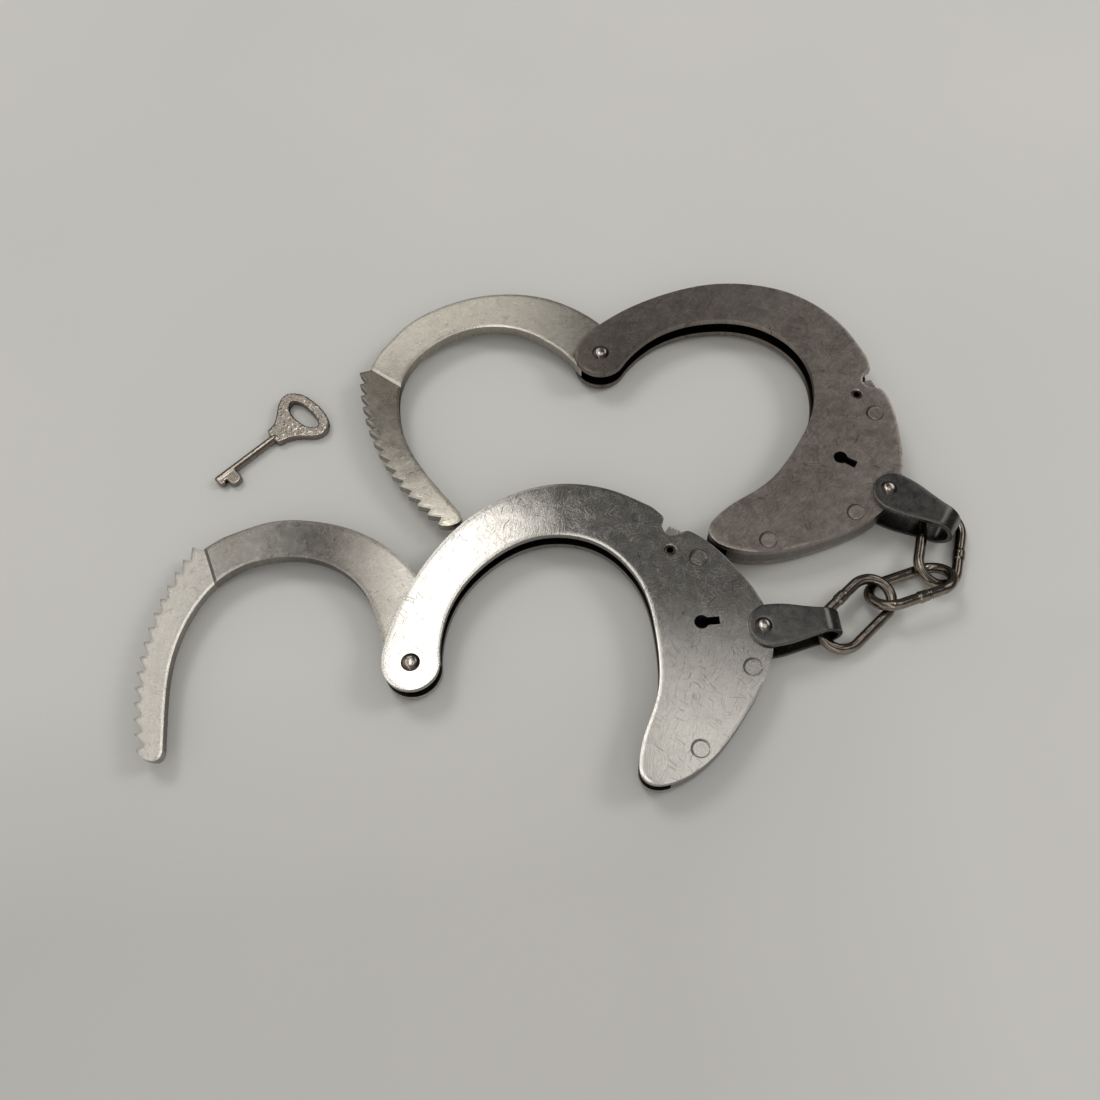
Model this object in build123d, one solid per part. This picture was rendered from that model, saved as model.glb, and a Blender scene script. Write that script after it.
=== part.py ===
from build123d import *
import math
import os

os.makedirs("parts", exist_ok=True)

# Double-lock chain handcuffs, opened and lying flat with their key.
# Frame: origin on the hinge axis of cuff A where its hinge rivet foot meets the
# resting plane. +Z up, +X from cuff A's hinge rivet to its chain rivet. Millimetres.
# Both cuffs are built in cuff A's place; plan points are (x, y) in that frame
# unless a comment says otherwise.

# ---------------------------------------------------------------- driving sizes
HINGE_TO_CHAIN = 95.0      # hinge rivet to chain rivet, both cuffs
SHEET = 1.3                # chain strap sheet
RUN = 0.05                 # running clearance, radial or face to face
PLATE = 2.0                # cheek plate thickness
GAP = 4.0                  # gap between the cheek plates

Z_REAR = SHEET + RUN       # underside of the rear cheek plate
Z_GAP0 = Z_REAR + PLATE
Z_GAP1 = Z_GAP0 + GAP
Z_TOP = Z_GAP1 + PLATE     # top of the front cheek plate
Z_MID = (Z_GAP0 + Z_GAP1) / 2
Z_EAR = Z_TOP + RUN        # underside of the strap's top ear
Z_STRAP_TOP = Z_EAR + SHEET
CUT_Z = (-1, 20)           # height range of cutters that pass right through

# rivets and pin: radii and places
HINGE_RIVET_R = 2.0
CHAIN_RIVET_R = 2.0
CASE_RIVET_R = 2.15
CASE_RIVETS = [(81.1, 22.4), (90.4, -11.0), (73.3, -31.5)]
PAWL_PIN_R = 1.6
PAWL_AT = (73.6, 25.8)

TOOTH_PITCH = 3.36         # degrees, shared by the arm and the pawl

# placing: tag, hinge place, turn, arm angle from its own zero, strap turn (degrees)
CUFFS = [
    ("cuff_a", (0.0, 0.0), 0.0, 0.0, 0.5),
    ("cuff_b", (62.1, 95.3), -37.3, 69.9, -36.8),
]
# centre, turns about Z, Y and X (degrees), and the side that carries the weld
LINKS = {
    "chain_link_a": ((122.14, 3.28, 4.0), (37.3, -4.6, 7.0), 1),
    "chain_link_middle": ((138.66, 9.41, 4.95), (13.3, -1.0, -33.9), -1),
    "chain_link_b": ((150.34, 21.1, 3.3), (-110.9, -1.7, -15.1), 1),
}
KEY_AT = (-55.4, 68.6, 1.3)  # key's own origin, on the shank axis near the bit
KEY_TURN = 38.35


# ---------------------------------------------------------------- helpers
def polar(radius, angle):
    return (radius * math.cos(math.radians(angle)), radius * math.sin(math.radians(angle)))


def turned(points, angle, about):
    """The points turned by angle degrees about a centre."""
    c, s = polar(1, angle)
    cx, cy = about
    return [
        (cx + (x - cx) * c - (y - cy) * s, cy + (x - cx) * s + (y - cy) * c)
        for x, y in points
    ]


def face_of(parts):
    """A flat face inside a closed run of lines, arcs and splines."""
    return make_face(Wire([e for p in parts for e in p.edges()]))


def leaf_face(side_a, side_b):
    """A thin bent strip between two splines that run the same way."""
    return face_of([
        Spline(*side_a),
        Line(side_a[-1], side_b[-1]),
        Spline(*side_b[::-1]),
        Line(side_b[0], side_a[0]),
    ])


def slab(face, z0, z1):
    return extrude(Pos(0, 0, z0) * face, amount=z1 - z0)


def mid_slab(face, thick):
    """A plate centred in the gap between the cheeks."""
    return slab(face, Z_MID - thick / 2, Z_MID + thick / 2)


def disc(x, y, radius, z0, z1):
    return Pos(x, y, (z0 + z1) / 2) * Cylinder(radius, z1 - z0)


def bore(x, y, radius):
    return disc(x, y, radius, *CUT_Z)


def rod_x(radius, length):
    """A cylinder along X, centred on the origin."""
    return Rot(0, 90, 0) * Cylinder(radius, length)


def dome(x, y, radius, z0, height):
    """A domed rivet head: the cap of a sphere, standing up from z0."""
    ball_r = (radius * radius + height * height) / (2 * height)
    ball = Pos(x, y, z0 + height - ball_r) * Sphere(ball_r)
    keep = Pos(x, y, z0 + height) * Cylinder(radius * 1.5, 2 * height)
    return ball & keep


def softened(part, z, size, longer_than=0, round_first=False, outline=False):
    """Breaks the edges of the flat faces at height z.

    outline keeps to the outer edge of the largest face; round_first tries fillets
    before chamfers.
    """
    faces = [
        f for f in part.faces()
        if abs(f.center().Z - z) < 1e-4 and abs(abs(f.normal_at().Z) - 1) < 1e-4
    ]
    if outline:
        edges = list(max(faces, key=lambda f: f.area).outer_wire().edges())
    else:
        edges = [e for f in faces for e in f.edges()]
    edges = [e for e in edges if e.length > longer_than]
    ways = [(chamfer, size), (chamfer, size * 0.6)]
    if round_first:
        ways = [(fillet, size * 1.5), (fillet, size)] + ways
    for way, amount in ways:
        # the kernel may refuse a size on a tight curve: the next way is then tried,
        # and the part stays sharp if all of them fail
        try:
            out = way(edges, amount)
            if out.is_valid and out.volume > part.volume * 0.9:
                return out
        except Exception:
            pass
    return part


# ---------------------------------------------------------------- cheek plates
HINGE_END_R = 7.8
# outside of the bow, from the hinge end to the notch
BOW_OUT = [
    (-7.8, 0.0), (-6.3, 7.5), (-2.7, 16.4), (2.7, 25.6), (8.6, 33.2), (16.6, 40.8), (27.2, 46.9),
    (38.0, 50.0), (46.5, 50.2), (55.0, 48.4), (62.8, 44.9), (69.0, 40.8), (72.8, 36.9),
]
NOTCH = [
    (72.8, 36.9), (73.25, 35.9), (72.7, 34.8), (72.35, 33.4), (72.6, 32.1), (73.1, 30.9),
    (74.1, 30.15), (75.6, 30.1), (77.3, 30.5), (78.5, 31.1), (79.5, 31.1), (80.6, 30.5),
]
# from the notch round the outside of the case, round its tip and along the inner edge
CASE_RUN = [
    (80.6, 30.5), (84.9, 26.6), (89.8, 20.0), (93.9, 13.0), (96.4, 6.6), (97.3, 0.0),
    (96.1, -8.1), (92.3, -15.5), (86.5, -23.2), (78.9, -31.5), (75.0, -34.7), (71.5, -36.9),
    (67.6, -38.6), (64.0, -39.5), (60.9, -39.5), (58.7, -38.5), (57.5, -37.0), (57.05, -35.3),
    (57.2, -33.4), (58.1, -29.9), (59.3, -26.6), (62.3, -20.6), (64.6, -15.0), (65.9, -8.5),
    (66.3, 0.0), (65.9, 8.5), (64.2, 16.2), (61.1, 22.4), (56.6, 27.9), (50.6, 31.9),
    (43.5, 33.9), (36.5, 33.9), (29.5, 31.9), (22.2, 27.6), (15.4, 21.2), (10.8, 13.8),
    (8.6, 7.0), (7.85, 1.9), (7.8, 0.0),
]
KEYHOLE_AT = (78.9, 3.25)
KEYHOLE_R = 2.0
KEYHOLE_REACH = 4.9        # square end of the slot from the round's centre
KEYHOLE_SLOT = 2.3         # slot width
RIVET_SINK = 0.22          # depth and flare of the countersink round a case rivet
PIN_SINK = 0.25            # the same round the pawl pin
PLATE_EDGE = 0.35


def case_face():
    """Plan of a cheek plate: hinge end, bow, notch, case and tip."""
    return face_of([
        Spline(*BOW_OUT, tangents=[(0, 1), (0.6, -0.8)]),
        Polyline(*NOTCH),
        Spline(*CASE_RUN),
        RadiusArc(CASE_RUN[-1], BOW_OUT[0], HINGE_END_R),
    ])


def keyhole_face():
    x, y = KEYHOLE_AT
    half = KEYHOLE_SLOT / 2
    start = x + math.sqrt(KEYHOLE_R ** 2 - half ** 2)
    end = x + KEYHOLE_REACH
    return face_of([
        Line((start, y + half), (end, y + half)),
        Line((end, y + half), (end, y - half)),
        Line((end, y - half), (start, y - half)),
        ThreePointArc((start, y - half), (x - KEYHOLE_R, y), (start, y + half)),
    ])


def countersink(x, y, radius, depth, z, facing_up):
    """A 45 degree cone that widens towards the plate face at height z."""
    wide = radius + depth
    if facing_up:
        return Pos(x, y, z - depth / 2) * Cone(radius, wide, depth)
    return Pos(x, y, z + depth / 2) * Cone(wide, radius, depth)


def cheek_plate(z0, front):
    """The front plate faces up and has the keyhole; the rear plate faces down."""
    z1 = z0 + PLATE
    outside = z1 if front else z0
    plate = slab(case_face(), z0, z1)
    plate -= bore(0, 0, HINGE_RIVET_R)
    plate -= bore(HINGE_TO_CHAIN, 0, CHAIN_RIVET_R)
    plate -= bore(*PAWL_AT, PAWL_PIN_R)
    for x, y in CASE_RIVETS:
        plate -= bore(x, y, CASE_RIVET_R)
        # a fine countersink leaves the visible ring around each flush rivet
        plate -= countersink(x, y, CASE_RIVET_R, RIVET_SINK, outside, front)
    plate -= countersink(*PAWL_AT, PAWL_PIN_R, PIN_SINK, outside, front)
    if front:
        plate -= slab(keyhole_face(), *CUT_Z)
    return softened(plate, outside, PLATE_EDGE, round_first=True, outline=True)


# ---------------------------------------------------------------- lock body
BODY_R = 75.7              # inner limit of the lock body about the hinge axis
# pocket for pawl, key bit, springs and double-lock slide
POCKET = [
    (70.0, 45.0), (70.0, -2.6), (83.2, -2.6), (85.6, -0.2), (86.3, 7.4), (88.6, 12.0),
    (87.3, 17.6), (84.2, 19.4), (83.6, 23.6), (84.4, 25.2), (82.0, 45.0), (70.0, 45.0),
]


def lock_body():
    """The solid layer between the cheeks: it closes the case outside the ratchet path."""
    body = slab(case_face(), Z_GAP0, Z_GAP1)
    body -= bore(0, 0, BODY_R)
    # drop everything of the bow: only the case side stays
    body -= Pos(30, 40, Z_MID) * Box(90, 60, 20)
    body = body & (Pos(85, -5, Z_MID) * Box(60, 90, 20))
    body -= slab(face_of([Polyline(*POCKET)]), *CUT_Z)
    body -= bore(HINGE_TO_CHAIN, 0, CHAIN_RIVET_R)
    # the first case rivet stands in the pocket
    for x, y in CASE_RIVETS[1:]:
        body -= bore(x, y, CASE_RIVET_R)
    return max(body.solids(), key=lambda s: s.volume)


# ---------------------------------------------------------------- ratchet arm
ARM = 3.6                  # arm thickness
ARM_STEP = 0.35            # each face of the toothed part is lower by this
ARM_EDGE = 0.3
ARM_END_R = 7.6
TEETH = 15
TOOTH_TIP_R = 74.7
TOOTH_ROOT_R = 72.6
TOOTH_FIRST = 145.2        # degrees, tooth nearest the hinge, arm at its own zero
# degrees: the two ends of a tooth's narrow tip, and how far a root is before the next tooth
TIP_START, TIP_END, ROOT_BEFORE = -0.02, 0.10, 0.42
# outer edge, from the hinge end to the first tooth
ARM_OUT = [
    (7.6, 0.0), (7.9, 7.5), (5.4, 19.8), (0.4, 29.6), (-7.1, 37.6), (-17.3, 44.0),
    (-28.5, 47.5), (-39.9, 48.1), (-50.5, 45.3), (-58.3, 41.3),
]
# free end, after the last tooth
ARM_NOSE = [(-71.9, -17.7), (-68.8, -19.2), (-66.0, -16.6)]
# inner edge, from the nose back to the hinge end
ARM_IN = [
    (-66.0, -16.6), (-66.2, -5.0), (-65.7, 6.0), (-63.4, 15.7), (-59.5, 23.8), (-54.0, 30.6),
    (-46.5, 35.1), (-36.5, 36.6), (-26.4, 34.9), (-17.6, 29.6), (-11.6, 21.6), (-8.4, 11.6),
    (-7.6, 0.0),
]
# line across the arm where the thinner part starts, and how far the slope runs past it
STEP_OUTER, STEP_INNER = (-58.6, 43.6), (-54.1, 29.0)
STEP_SLOPE = (0.9, 0.3)
# corners that take the step's cutter clear of the toothed part
STEP_CORNER = (-90.0, 60.0)
STEP_FAR = [(-95.0, 20.0), (-95.0, -40.0), (-50.0, -40.0)]


def tooth_points():
    points = []
    for k in range(TEETH):
        at = TOOTH_FIRST + TOOTH_PITCH * k
        points.append(polar(TOOTH_TIP_R, at + TIP_START))
        points.append(polar(TOOTH_TIP_R, at + TIP_END))
        if k < TEETH - 1:
            points.append(polar(TOOTH_ROOT_R, at + TOOTH_PITCH - ROOT_BEFORE))
    return points


def arm_face():
    teeth = tooth_points()
    return face_of([
        Spline(*ARM_OUT, tangents=[(0, 1), (-0.85, -0.52)]),
        Polyline(ARM_OUT[-1], *teeth),
        Spline(teeth[-1], *ARM_NOSE, tangents=[(0.2, -1.0), (0.05, 1.0)]),
        Spline(*ARM_IN, tangents=[(-0.02, 1.0), (0, -1)]),
        RadiusArc(ARM_IN[-1], ARM_OUT[0], ARM_END_R),
    ])


def step_face(dx, dy):
    """Plan of the step's cutter, its near line moved by (dx, dy)."""
    outer = (STEP_OUTER[0] + dx, STEP_OUTER[1] + dy)
    inner = (STEP_INNER[0] + dx, STEP_INNER[1] + dy)
    corner = (STEP_CORNER[0], STEP_CORNER[1] + dy)
    return face_of([Polyline(outer, corner, *STEP_FAR, inner, outer)])


def ratchet_arm():
    z0, z1 = Z_MID - ARM / 2, Z_MID + ARM / 2
    arm = slab(arm_face(), z0, z1)
    # only the long smooth edges are broken, not the teeth
    for z in (z1, z0):
        arm = softened(arm, z, ARM_EDGE, longer_than=20)
    # the toothed part is thinner, with a short slope up to the full thickness
    low, high = step_face(0, 0), step_face(*STEP_SLOPE)
    for z, way in ((z1, 1), (z0, -1)):
        base = z - way * ARM_STEP
        arm -= loft([Pos(0, 0, base) * low, Pos(0, 0, z + way * 0.01) * high])
        arm -= slab(low, min(base, z + way), max(base, z + way))
    arm -= bore(0, 0, HINGE_RIVET_R + RUN)
    return arm


# ---------------------------------------------------------------- pawl
PAWL = 3.6                 # thickness
PAWL_LIFT = 12.5           # rest lift of the pawl from full mesh, degrees
PAWL_HUB_R = 2.35
PAWL_TEETH = 3
PAWL_FIRST = 4.4           # degrees about the hinge axis, first tooth
PAWL_ROOT_R = 75.05
PAWL_TIP_R = 72.95
PAWL_EDGE_R = 75.3         # inner edge just before and after the teeth
# outer back, from the hub down to the tail
PAWL_BACK = [
    (75.45, 24.9), (78.0, 17.6), (80.1, 12.6), (83.4, 9.6),
    (83.6, 8.2), (82.4, 7.3), (79.2, 7.0), (77.6, 6.7),
]
PAWL_HUB_INNER = (71.9, 23.4)
PAWL_PIN_BORE = 0.95
PAWL_PIN_RECESS = 0.2      # pin end below the plate face


def pawl_points():
    """Plan of the pawl in full mesh: bar hung from its pin, teeth inward, tail to the key."""
    points = PAWL_BACK + [polar(76.6, 4.2)]
    for k in range(PAWL_TEETH):
        at = PAWL_FIRST + TOOTH_PITCH * k
        points += [
            polar(PAWL_ROOT_R, at - 2.3) if k else polar(PAWL_EDGE_R, at - 0.9),
            polar(PAWL_TIP_R, at - 0.16),
            polar(PAWL_TIP_R, at),
            polar(PAWL_ROOT_R, at + 0.42),
        ]
    return points + [polar(PAWL_EDGE_R, 15.2), PAWL_HUB_INNER]


def pawl():
    points = turned(pawl_points(), PAWL_LIFT, PAWL_AT)
    bar = mid_slab(face_of([Polyline(*points, points[0])]), PAWL)
    hub = disc(*PAWL_AT, PAWL_HUB_R, Z_MID - PAWL / 2, Z_MID + PAWL / 2)
    return (bar + hub) - bore(*PAWL_AT, PAWL_PIN_R + RUN)


def pawl_pin():
    """A tubular pin with broken ends."""
    low, high = Z_REAR + PAWL_PIN_RECESS, Z_TOP - PAWL_PIN_RECESS
    tube = disc(*PAWL_AT, PAWL_PIN_R, low, high)
    for z in (high, low):
        tube = softened(tube, z, 0.22)
    return tube - bore(*PAWL_AT, PAWL_PIN_BORE)


def pawl_spring():
    """Flat spring bedded in the pocket wall, beside the pawl's back."""
    outer = [(84.7, 18.95), (86.6, 17.5), (87.35, 15.0), (87.2, 12.9)]
    inner = [(84.5, 18.65), (86.3, 17.25), (87.0, 15.0), (86.85, 12.95)]
    return mid_slab(leaf_face(outer, inner), 3.0)


# ---------------------------------------------------------------- double lock
# The slide's own frame: along its serrated edge, and outward from it.
SLIDE_AT = (75.9, 31.1)    # middle of the serrated edge, between its teeth
SLIDE_DIR = (0.8192, -0.5736)
SLIDE_TEETH = 6
SLIDE_FIRST = -2.5
SLIDE_PITCH = 0.9
# one serration: (along from its start, outward)
SERRATION = [(0, 2.05), (0.35, 2.05), (0.5, 1.55), (0.75, 1.55)]


def on_slide(points):
    """Plan points from (along, outward) in the slide's frame."""
    ux, uy = SLIDE_DIR
    x, y = SLIDE_AT
    return [(x + s * ux - n * uy, y + s * uy + n * ux) for s, n in points]


def double_lock_slide():
    """A small bar between the cheeks; its serrated edge shows in the case notch."""
    points = [(-2.9, -2.2), (-2.9, 1.3)]
    for k in range(SLIDE_TEETH):
        start = SLIDE_FIRST + SLIDE_PITCH * k
        points += [(start + s, n) for s, n in SERRATION]
    points += [(2.6, 1.0), (3.2, 0.2), (5.6, -0.6), (5.6, -2.2)]
    points = on_slide(points)
    return mid_slab(face_of([Polyline(*points, points[0])]), 3.8)


def slide_spring():
    """Bent leaf that clicks the double-lock slide into its two places."""
    outer = on_slide([(0.6, -2.5), (2.4, -2.9), (4.6, -2.5), (6.4, -3.1)])
    inner = on_slide([(0.6, -2.8), (2.4, -3.2), (4.6, -2.8), (6.3, -3.4)])
    return mid_slab(leaf_face(outer, inner), 2.8)


# ---------------------------------------------------------------- rivets
DOME_HINGE = (2.6, 1.25)   # radius and height of the rivet domes
DOME_CHAIN = (2.3, 1.15)
DOME_ROOT = 0.2            # how far a shank runs up into its dome
HINGE_FOOT_R = 3.5
FLARE_R, FLARE_H = 2.8, 0.9  # flared foot of the chain rivet


def hinge_rivet():
    shank = disc(0, 0, HINGE_RIVET_R, 0.6, Z_TOP + DOME_ROOT)
    foot = softened(disc(0, 0, HINGE_FOOT_R, 0.0, Z_REAR), 0.0, 0.35)
    radius, height = DOME_HINGE
    return shank + foot + dome(0, 0, radius, Z_TOP, height)


def chain_rivet():
    x = HINGE_TO_CHAIN
    shank = disc(x, 0, CHAIN_RIVET_R, 0.0, Z_STRAP_TOP + DOME_ROOT)
    flare = Pos(x, 0, FLARE_H / 2) * Cone(FLARE_R, CHAIN_RIVET_R, FLARE_H)
    radius, height = DOME_CHAIN
    return shank + flare + dome(x, 0, radius, Z_STRAP_TOP + RUN, height)


def case_rivets():
    rivets = []
    for x, y in CASE_RIVETS:
        rivet = disc(x, y, CASE_RIVET_R, Z_REAR, Z_TOP)
        for z in (Z_TOP, Z_REAR):
            rivet = softened(rivet, z, 0.12)
        rivets.append(rivet)
    return rivets


# ---------------------------------------------------------------- chain strap
# Own frame: origin on the chain rivet axis, +X towards the bend.
STRAP_LEN = 21.8           # rivet axis to the outside of the bend
STRAP_END_HALF = 3.1       # half width at the bend
STRAP_BACK = -8            # sheet end before trimming to the plan
# half plan from the ear to the bend: (x, half width)
STRAP_SIDE = [(2.6, 6.0), (10.0, 4.9), (16.0, 3.6), (STRAP_LEN + 1, STRAP_END_HALF)]
STRAP_EAR_X = -4.1         # rounded end of the ear
STRAP_EDGE = 0.22


def strap_profile():
    """Side view of the bent sheet, x against z."""
    inner = (Z_EAR - SHEET) / 2
    outer = inner + SHEET
    mid = Z_EAR - inner
    bend = STRAP_LEN - outer
    back = STRAP_BACK
    return face_of([
        Line((back, mid - outer), (bend, mid - outer)),
        ThreePointArc((bend, mid - outer), (bend + outer, mid), (bend, mid + outer)),
        Line((bend, mid + outer), (back, mid + outer)),
        Line((back, mid + outer), (back, mid + inner)),
        Line((back, mid + inner), (bend, mid + inner)),
        ThreePointArc((bend, mid + inner), (bend + inner, mid), (bend, mid - inner)),
        Line((bend, mid - inner), (back, mid - inner)),
        Line((back, mid - inner), (back, mid - outer)),
    ])


def strap_plan():
    low = [(x, -half) for x, half in STRAP_SIDE]
    high = STRAP_SIDE[::-1]
    return face_of([
        ThreePointArc(high[-1], (STRAP_EAR_X, 0.0), low[0]),
        Spline(*low, tangents=[(1, 0.02), (1, 0.04)]),
        Line(low[-1], high[0]),
        Spline(*high, tangents=[(-1, 0.04), (-1, 0.02)]),
    ])


def chain_strap():
    """One sheet bent into a U: wide ears on the rivet, narrow bend round the link."""
    sheet = extrude(Plane.XZ * strap_profile(), amount=12, both=True)
    strap = sheet & slab(strap_plan(), *CUT_Z)
    strap = softened(strap, Z_STRAP_TOP, STRAP_EDGE, round_first=True)
    strap = softened(strap, 0.0, STRAP_EDGE)
    strap -= bore(0, 0, CHAIN_RIVET_R + RUN)
    flare = Cone(FLARE_R + RUN, CHAIN_RIVET_R + RUN, FLARE_H + 0.001)
    strap -= Pos(0, 0, FLARE_H / 2) * flare
    return strap


# ---------------------------------------------------------------- chain links
WIRE_R = 1.5
LINK_LEN = 26.7            # over the wire
LINK_WIDE = 14.8


def weld_ring(proud, length, edge):
    """A short collar round the wire, its ends chamfered."""
    ring = rod_x(WIRE_R + proud, length)
    return chamfer(ring.edges().filter_by(GeomType.CIRCLE), edge)


def link(side):
    """A link along X, its weld on the +Y side (side 1) or the -Y side (side -1)."""
    bend_r = (LINK_WIDE - 2 * WIRE_R) / 2
    half = (LINK_LEN - 2 * WIRE_R) / 2 - bend_r
    ring = Torus(bend_r, WIRE_R)
    right = Pos(half, 0, 0) * (ring & Pos(10, 0, 0) * Box(20, 40, 20))
    left = Pos(-half, 0, 0) * (ring & Pos(-10, 0, 0) * Box(20, 40, 20))
    wire = right + left
    for y in (-bend_r, bend_r):
        wire += Pos(0, y, 0) * rod_x(WIRE_R, 2 * half)
    # the welded joint stands slightly proud near the middle of one side
    wire += Pos(0.5, side * (bend_r + 0.05), 0.06) * weld_ring(0.17, 2.6, 0.14)
    wire += Pos(-0.6, side * (bend_r + 0.02), 0.02) * weld_ring(0.27, 0.9, 0.2)
    # the seam between the two butted ends
    seam = Rot(0, 90, 0) * (Cylinder(WIRE_R + 1, 0.28) - Cylinder(WIRE_R - 0.1, 0.3))
    wire -= Pos(-1.35, side * bend_r, 0) * seam
    return wire


# ---------------------------------------------------------------- key
# Own frame: shank axis along X, tip at the -X end, bits towards -Y.
SHANK_R = 1.15
SHANK_LEN = 22.4
SHANK_END = 20.2           # end inside the bow
SOCKET_LEN = 10.4
BIT_HALF = 0.95            # half thickness
SMALL_BIT = [
    (-2.1, 0), (-2.1, -2.0), (-1.7, -2.5), (-0.6, -2.5), (-0.2, -2.0), (0.5, -1.6), (0.5, 0),
    (-2.1, 0),
]
BOW_HALF = 1.25            # half thickness
KEY_BOW = [
    (19.0, -1.55), (19.7, -2.8), (21.6, -3.4), (24.4, -4.7), (27.2, -7.3), (29.6, -9.3),
    (32.2, -9.7), (35.0, -7.6), (36.3, -3.8), (36.4, 0.0), (36.0, 4.0), (34.7, 7.3),
    (32.2, 9.5), (29.6, 9.4), (26.8, 7.5), (24.2, 5.0), (21.6, 3.4), (19.6, 2.9), (19.0, 1.55),
]
KEY_BOW_HOLE = [
    (31.9, 6.2), (33.2, 3.6), (33.5, -0.4), (33.0, -4.6), (31.6, -6.5), (29.7, -5.2),
    (28.5, -1.6), (28.5, 2.4), (29.8, 5.6), (31.9, 6.2),
]


def key_shank():
    rod = Pos(SHANK_END - SHANK_LEN / 2, 0, 0) * rod_x(SHANK_R, SHANK_LEN)
    rod = chamfer(rod.edges().filter_by(GeomType.CIRCLE), 0.25)
    big = face_of([
        Polyline((0.35, 0.0), (0.35, -3.6)),
        Spline((0.35, -3.6), (2.3, -5.1), (4.1, -3.7), tangents=[(0.2, -1), (0.2, 1)]),
        Polyline((4.1, -3.7), (4.1, 0.0), (0.35, 0.0)),
    ])
    small = face_of([Polyline(*SMALL_BIT)])
    bits = slab(big, -BIT_HALF, BIT_HALF) + slab(small, -BIT_HALF, BIT_HALF)
    return rod + bits


def key_bow():
    plan = face_of([Spline(*KEY_BOW), Line(KEY_BOW[-1], KEY_BOW[0])])
    bow = slab(plan, -BOW_HALF, BOW_HALF)
    for z in (BOW_HALF, -BOW_HALF):
        bow = softened(bow, z, 0.35)
    bow -= slab(face_of([Spline(*KEY_BOW_HOLE)]), -5, 5)
    # the shank sits in a blind socket
    bow -= Pos(SHANK_END - SOCKET_LEN / 2, 0, 0) * rod_x(SHANK_R, SOCKET_LEN)
    return bow


# ---------------------------------------------------------------- assembly
def emit(name, shape, place):
    """Writes one piece, a shape or a list of shapes, moved to its place."""
    items = shape if isinstance(shape, list) else [shape]
    solids = [place * s for item in items for s in item.solids()]
    out = solids[0] if len(solids) == 1 else Compound(children=solids)
    export_step(out, os.path.join("parts", name + ".step"))


FIXED_PARTS = {
    "rear_cheek_plate": cheek_plate(Z_REAR, front=False),
    "front_cheek_plate": cheek_plate(Z_GAP1, front=True),
    "lock_body": lock_body(),
    "pawl": pawl(),
    "pawl_pin": pawl_pin(),
    "pawl_spring": pawl_spring(),
    "double_lock_slide": double_lock_slide(),
    "slide_spring": slide_spring(),
    "hinge_rivet": hinge_rivet(),
    "chain_rivet": chain_rivet(),
    "case_rivets": case_rivets(),
}
arm = ratchet_arm()
strap = chain_strap()

for tag, (x, y), turn, arm_angle, strap_turn in CUFFS:
    cuff_place = Location((x, y, 0), (0, 0, turn))
    for part_name, part in FIXED_PARTS.items():
        emit(f"{tag}_{part_name}", part, cuff_place)
    emit(tag + "_ratchet_arm", arm, Location((x, y, 0), (0, 0, turn + arm_angle)))
    dx, dy = polar(HINGE_TO_CHAIN, turn)
    emit(tag + "_chain_strap", strap, Location((x + dx, y + dy, 0), (0, 0, strap_turn)))

for name, (centre, (turn_z, turn_y, turn_x), side) in LINKS.items():
    place = Location(centre)
    for turns in ((0, 0, turn_z), (0, turn_y, 0), (turn_x, 0, 0)):
        place = place * Location((0, 0, 0), turns)
    emit(name, link(side), place)

key_place = Location(KEY_AT, (0, 0, KEY_TURN))
emit("key_shank", key_shank(), key_place)
emit("key_bow", key_bow(), key_place)
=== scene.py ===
"""Two handcuffs joined by a chain, with their key, lying flat on a pale table.

+Z is up. Cuff A lies at the origin and cuff B beyond it, towards +Y. The camera looks down
from the -Y side. Materials work in millimetres; lights, camera and floor are in metres.
"""

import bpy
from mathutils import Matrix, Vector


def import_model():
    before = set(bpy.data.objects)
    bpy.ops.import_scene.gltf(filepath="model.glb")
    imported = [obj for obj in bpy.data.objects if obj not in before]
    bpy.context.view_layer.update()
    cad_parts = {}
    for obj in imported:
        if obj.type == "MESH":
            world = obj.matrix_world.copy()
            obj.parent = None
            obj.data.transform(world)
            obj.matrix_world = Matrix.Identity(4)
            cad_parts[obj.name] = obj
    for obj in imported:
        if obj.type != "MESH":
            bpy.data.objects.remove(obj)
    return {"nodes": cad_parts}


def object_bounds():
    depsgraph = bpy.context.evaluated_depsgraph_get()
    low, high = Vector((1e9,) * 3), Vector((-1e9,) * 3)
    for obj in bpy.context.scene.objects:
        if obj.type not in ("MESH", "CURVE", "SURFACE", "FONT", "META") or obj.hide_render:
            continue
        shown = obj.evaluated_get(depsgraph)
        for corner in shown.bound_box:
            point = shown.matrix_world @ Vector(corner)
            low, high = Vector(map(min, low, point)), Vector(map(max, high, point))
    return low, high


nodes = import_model()["nodes"]

import math

import bmesh
import bpy
from mathutils import Matrix, Vector

cad_lo, cad_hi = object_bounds()
MM = 0.001

# ---------------------------------------------------------------- places on the cuffs, mm
CUFF_B_AT = (62.1, 95.3)
CUFF_B_COS, CUFF_B_SIN = 0.79547, 0.60599   # cuff B's case is turned clockwise
ARM_B_TURN = 32.6                           # degrees; its arm has its own turn
# DEEP_BELOW: upward faces below this height are painted black as shade between the plates
DEEP_BELOW = 7.3                            # upward faces below this height are black
RIVET_SEAM = 2.5                            # radius of the seam round a flush rivet
# the step on cuff A's arm where the toothed part starts: a point and the way to the teeth
STEP_AT = (-58.6, 43.6)
STEP_NORMAL = (-0.9556, -0.2945)


def on_cuff_b(x, y):
    return (CUFF_B_AT[0] + CUFF_B_COS * x + CUFF_B_SIN * y,
            CUFF_B_AT[1] - CUFF_B_SIN * x + CUFF_B_COS * y)


RINGS = [(81.1, 22.4), (90.4, -11.0), (73.3, -31.5)]   # flush rivets: x, y
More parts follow.
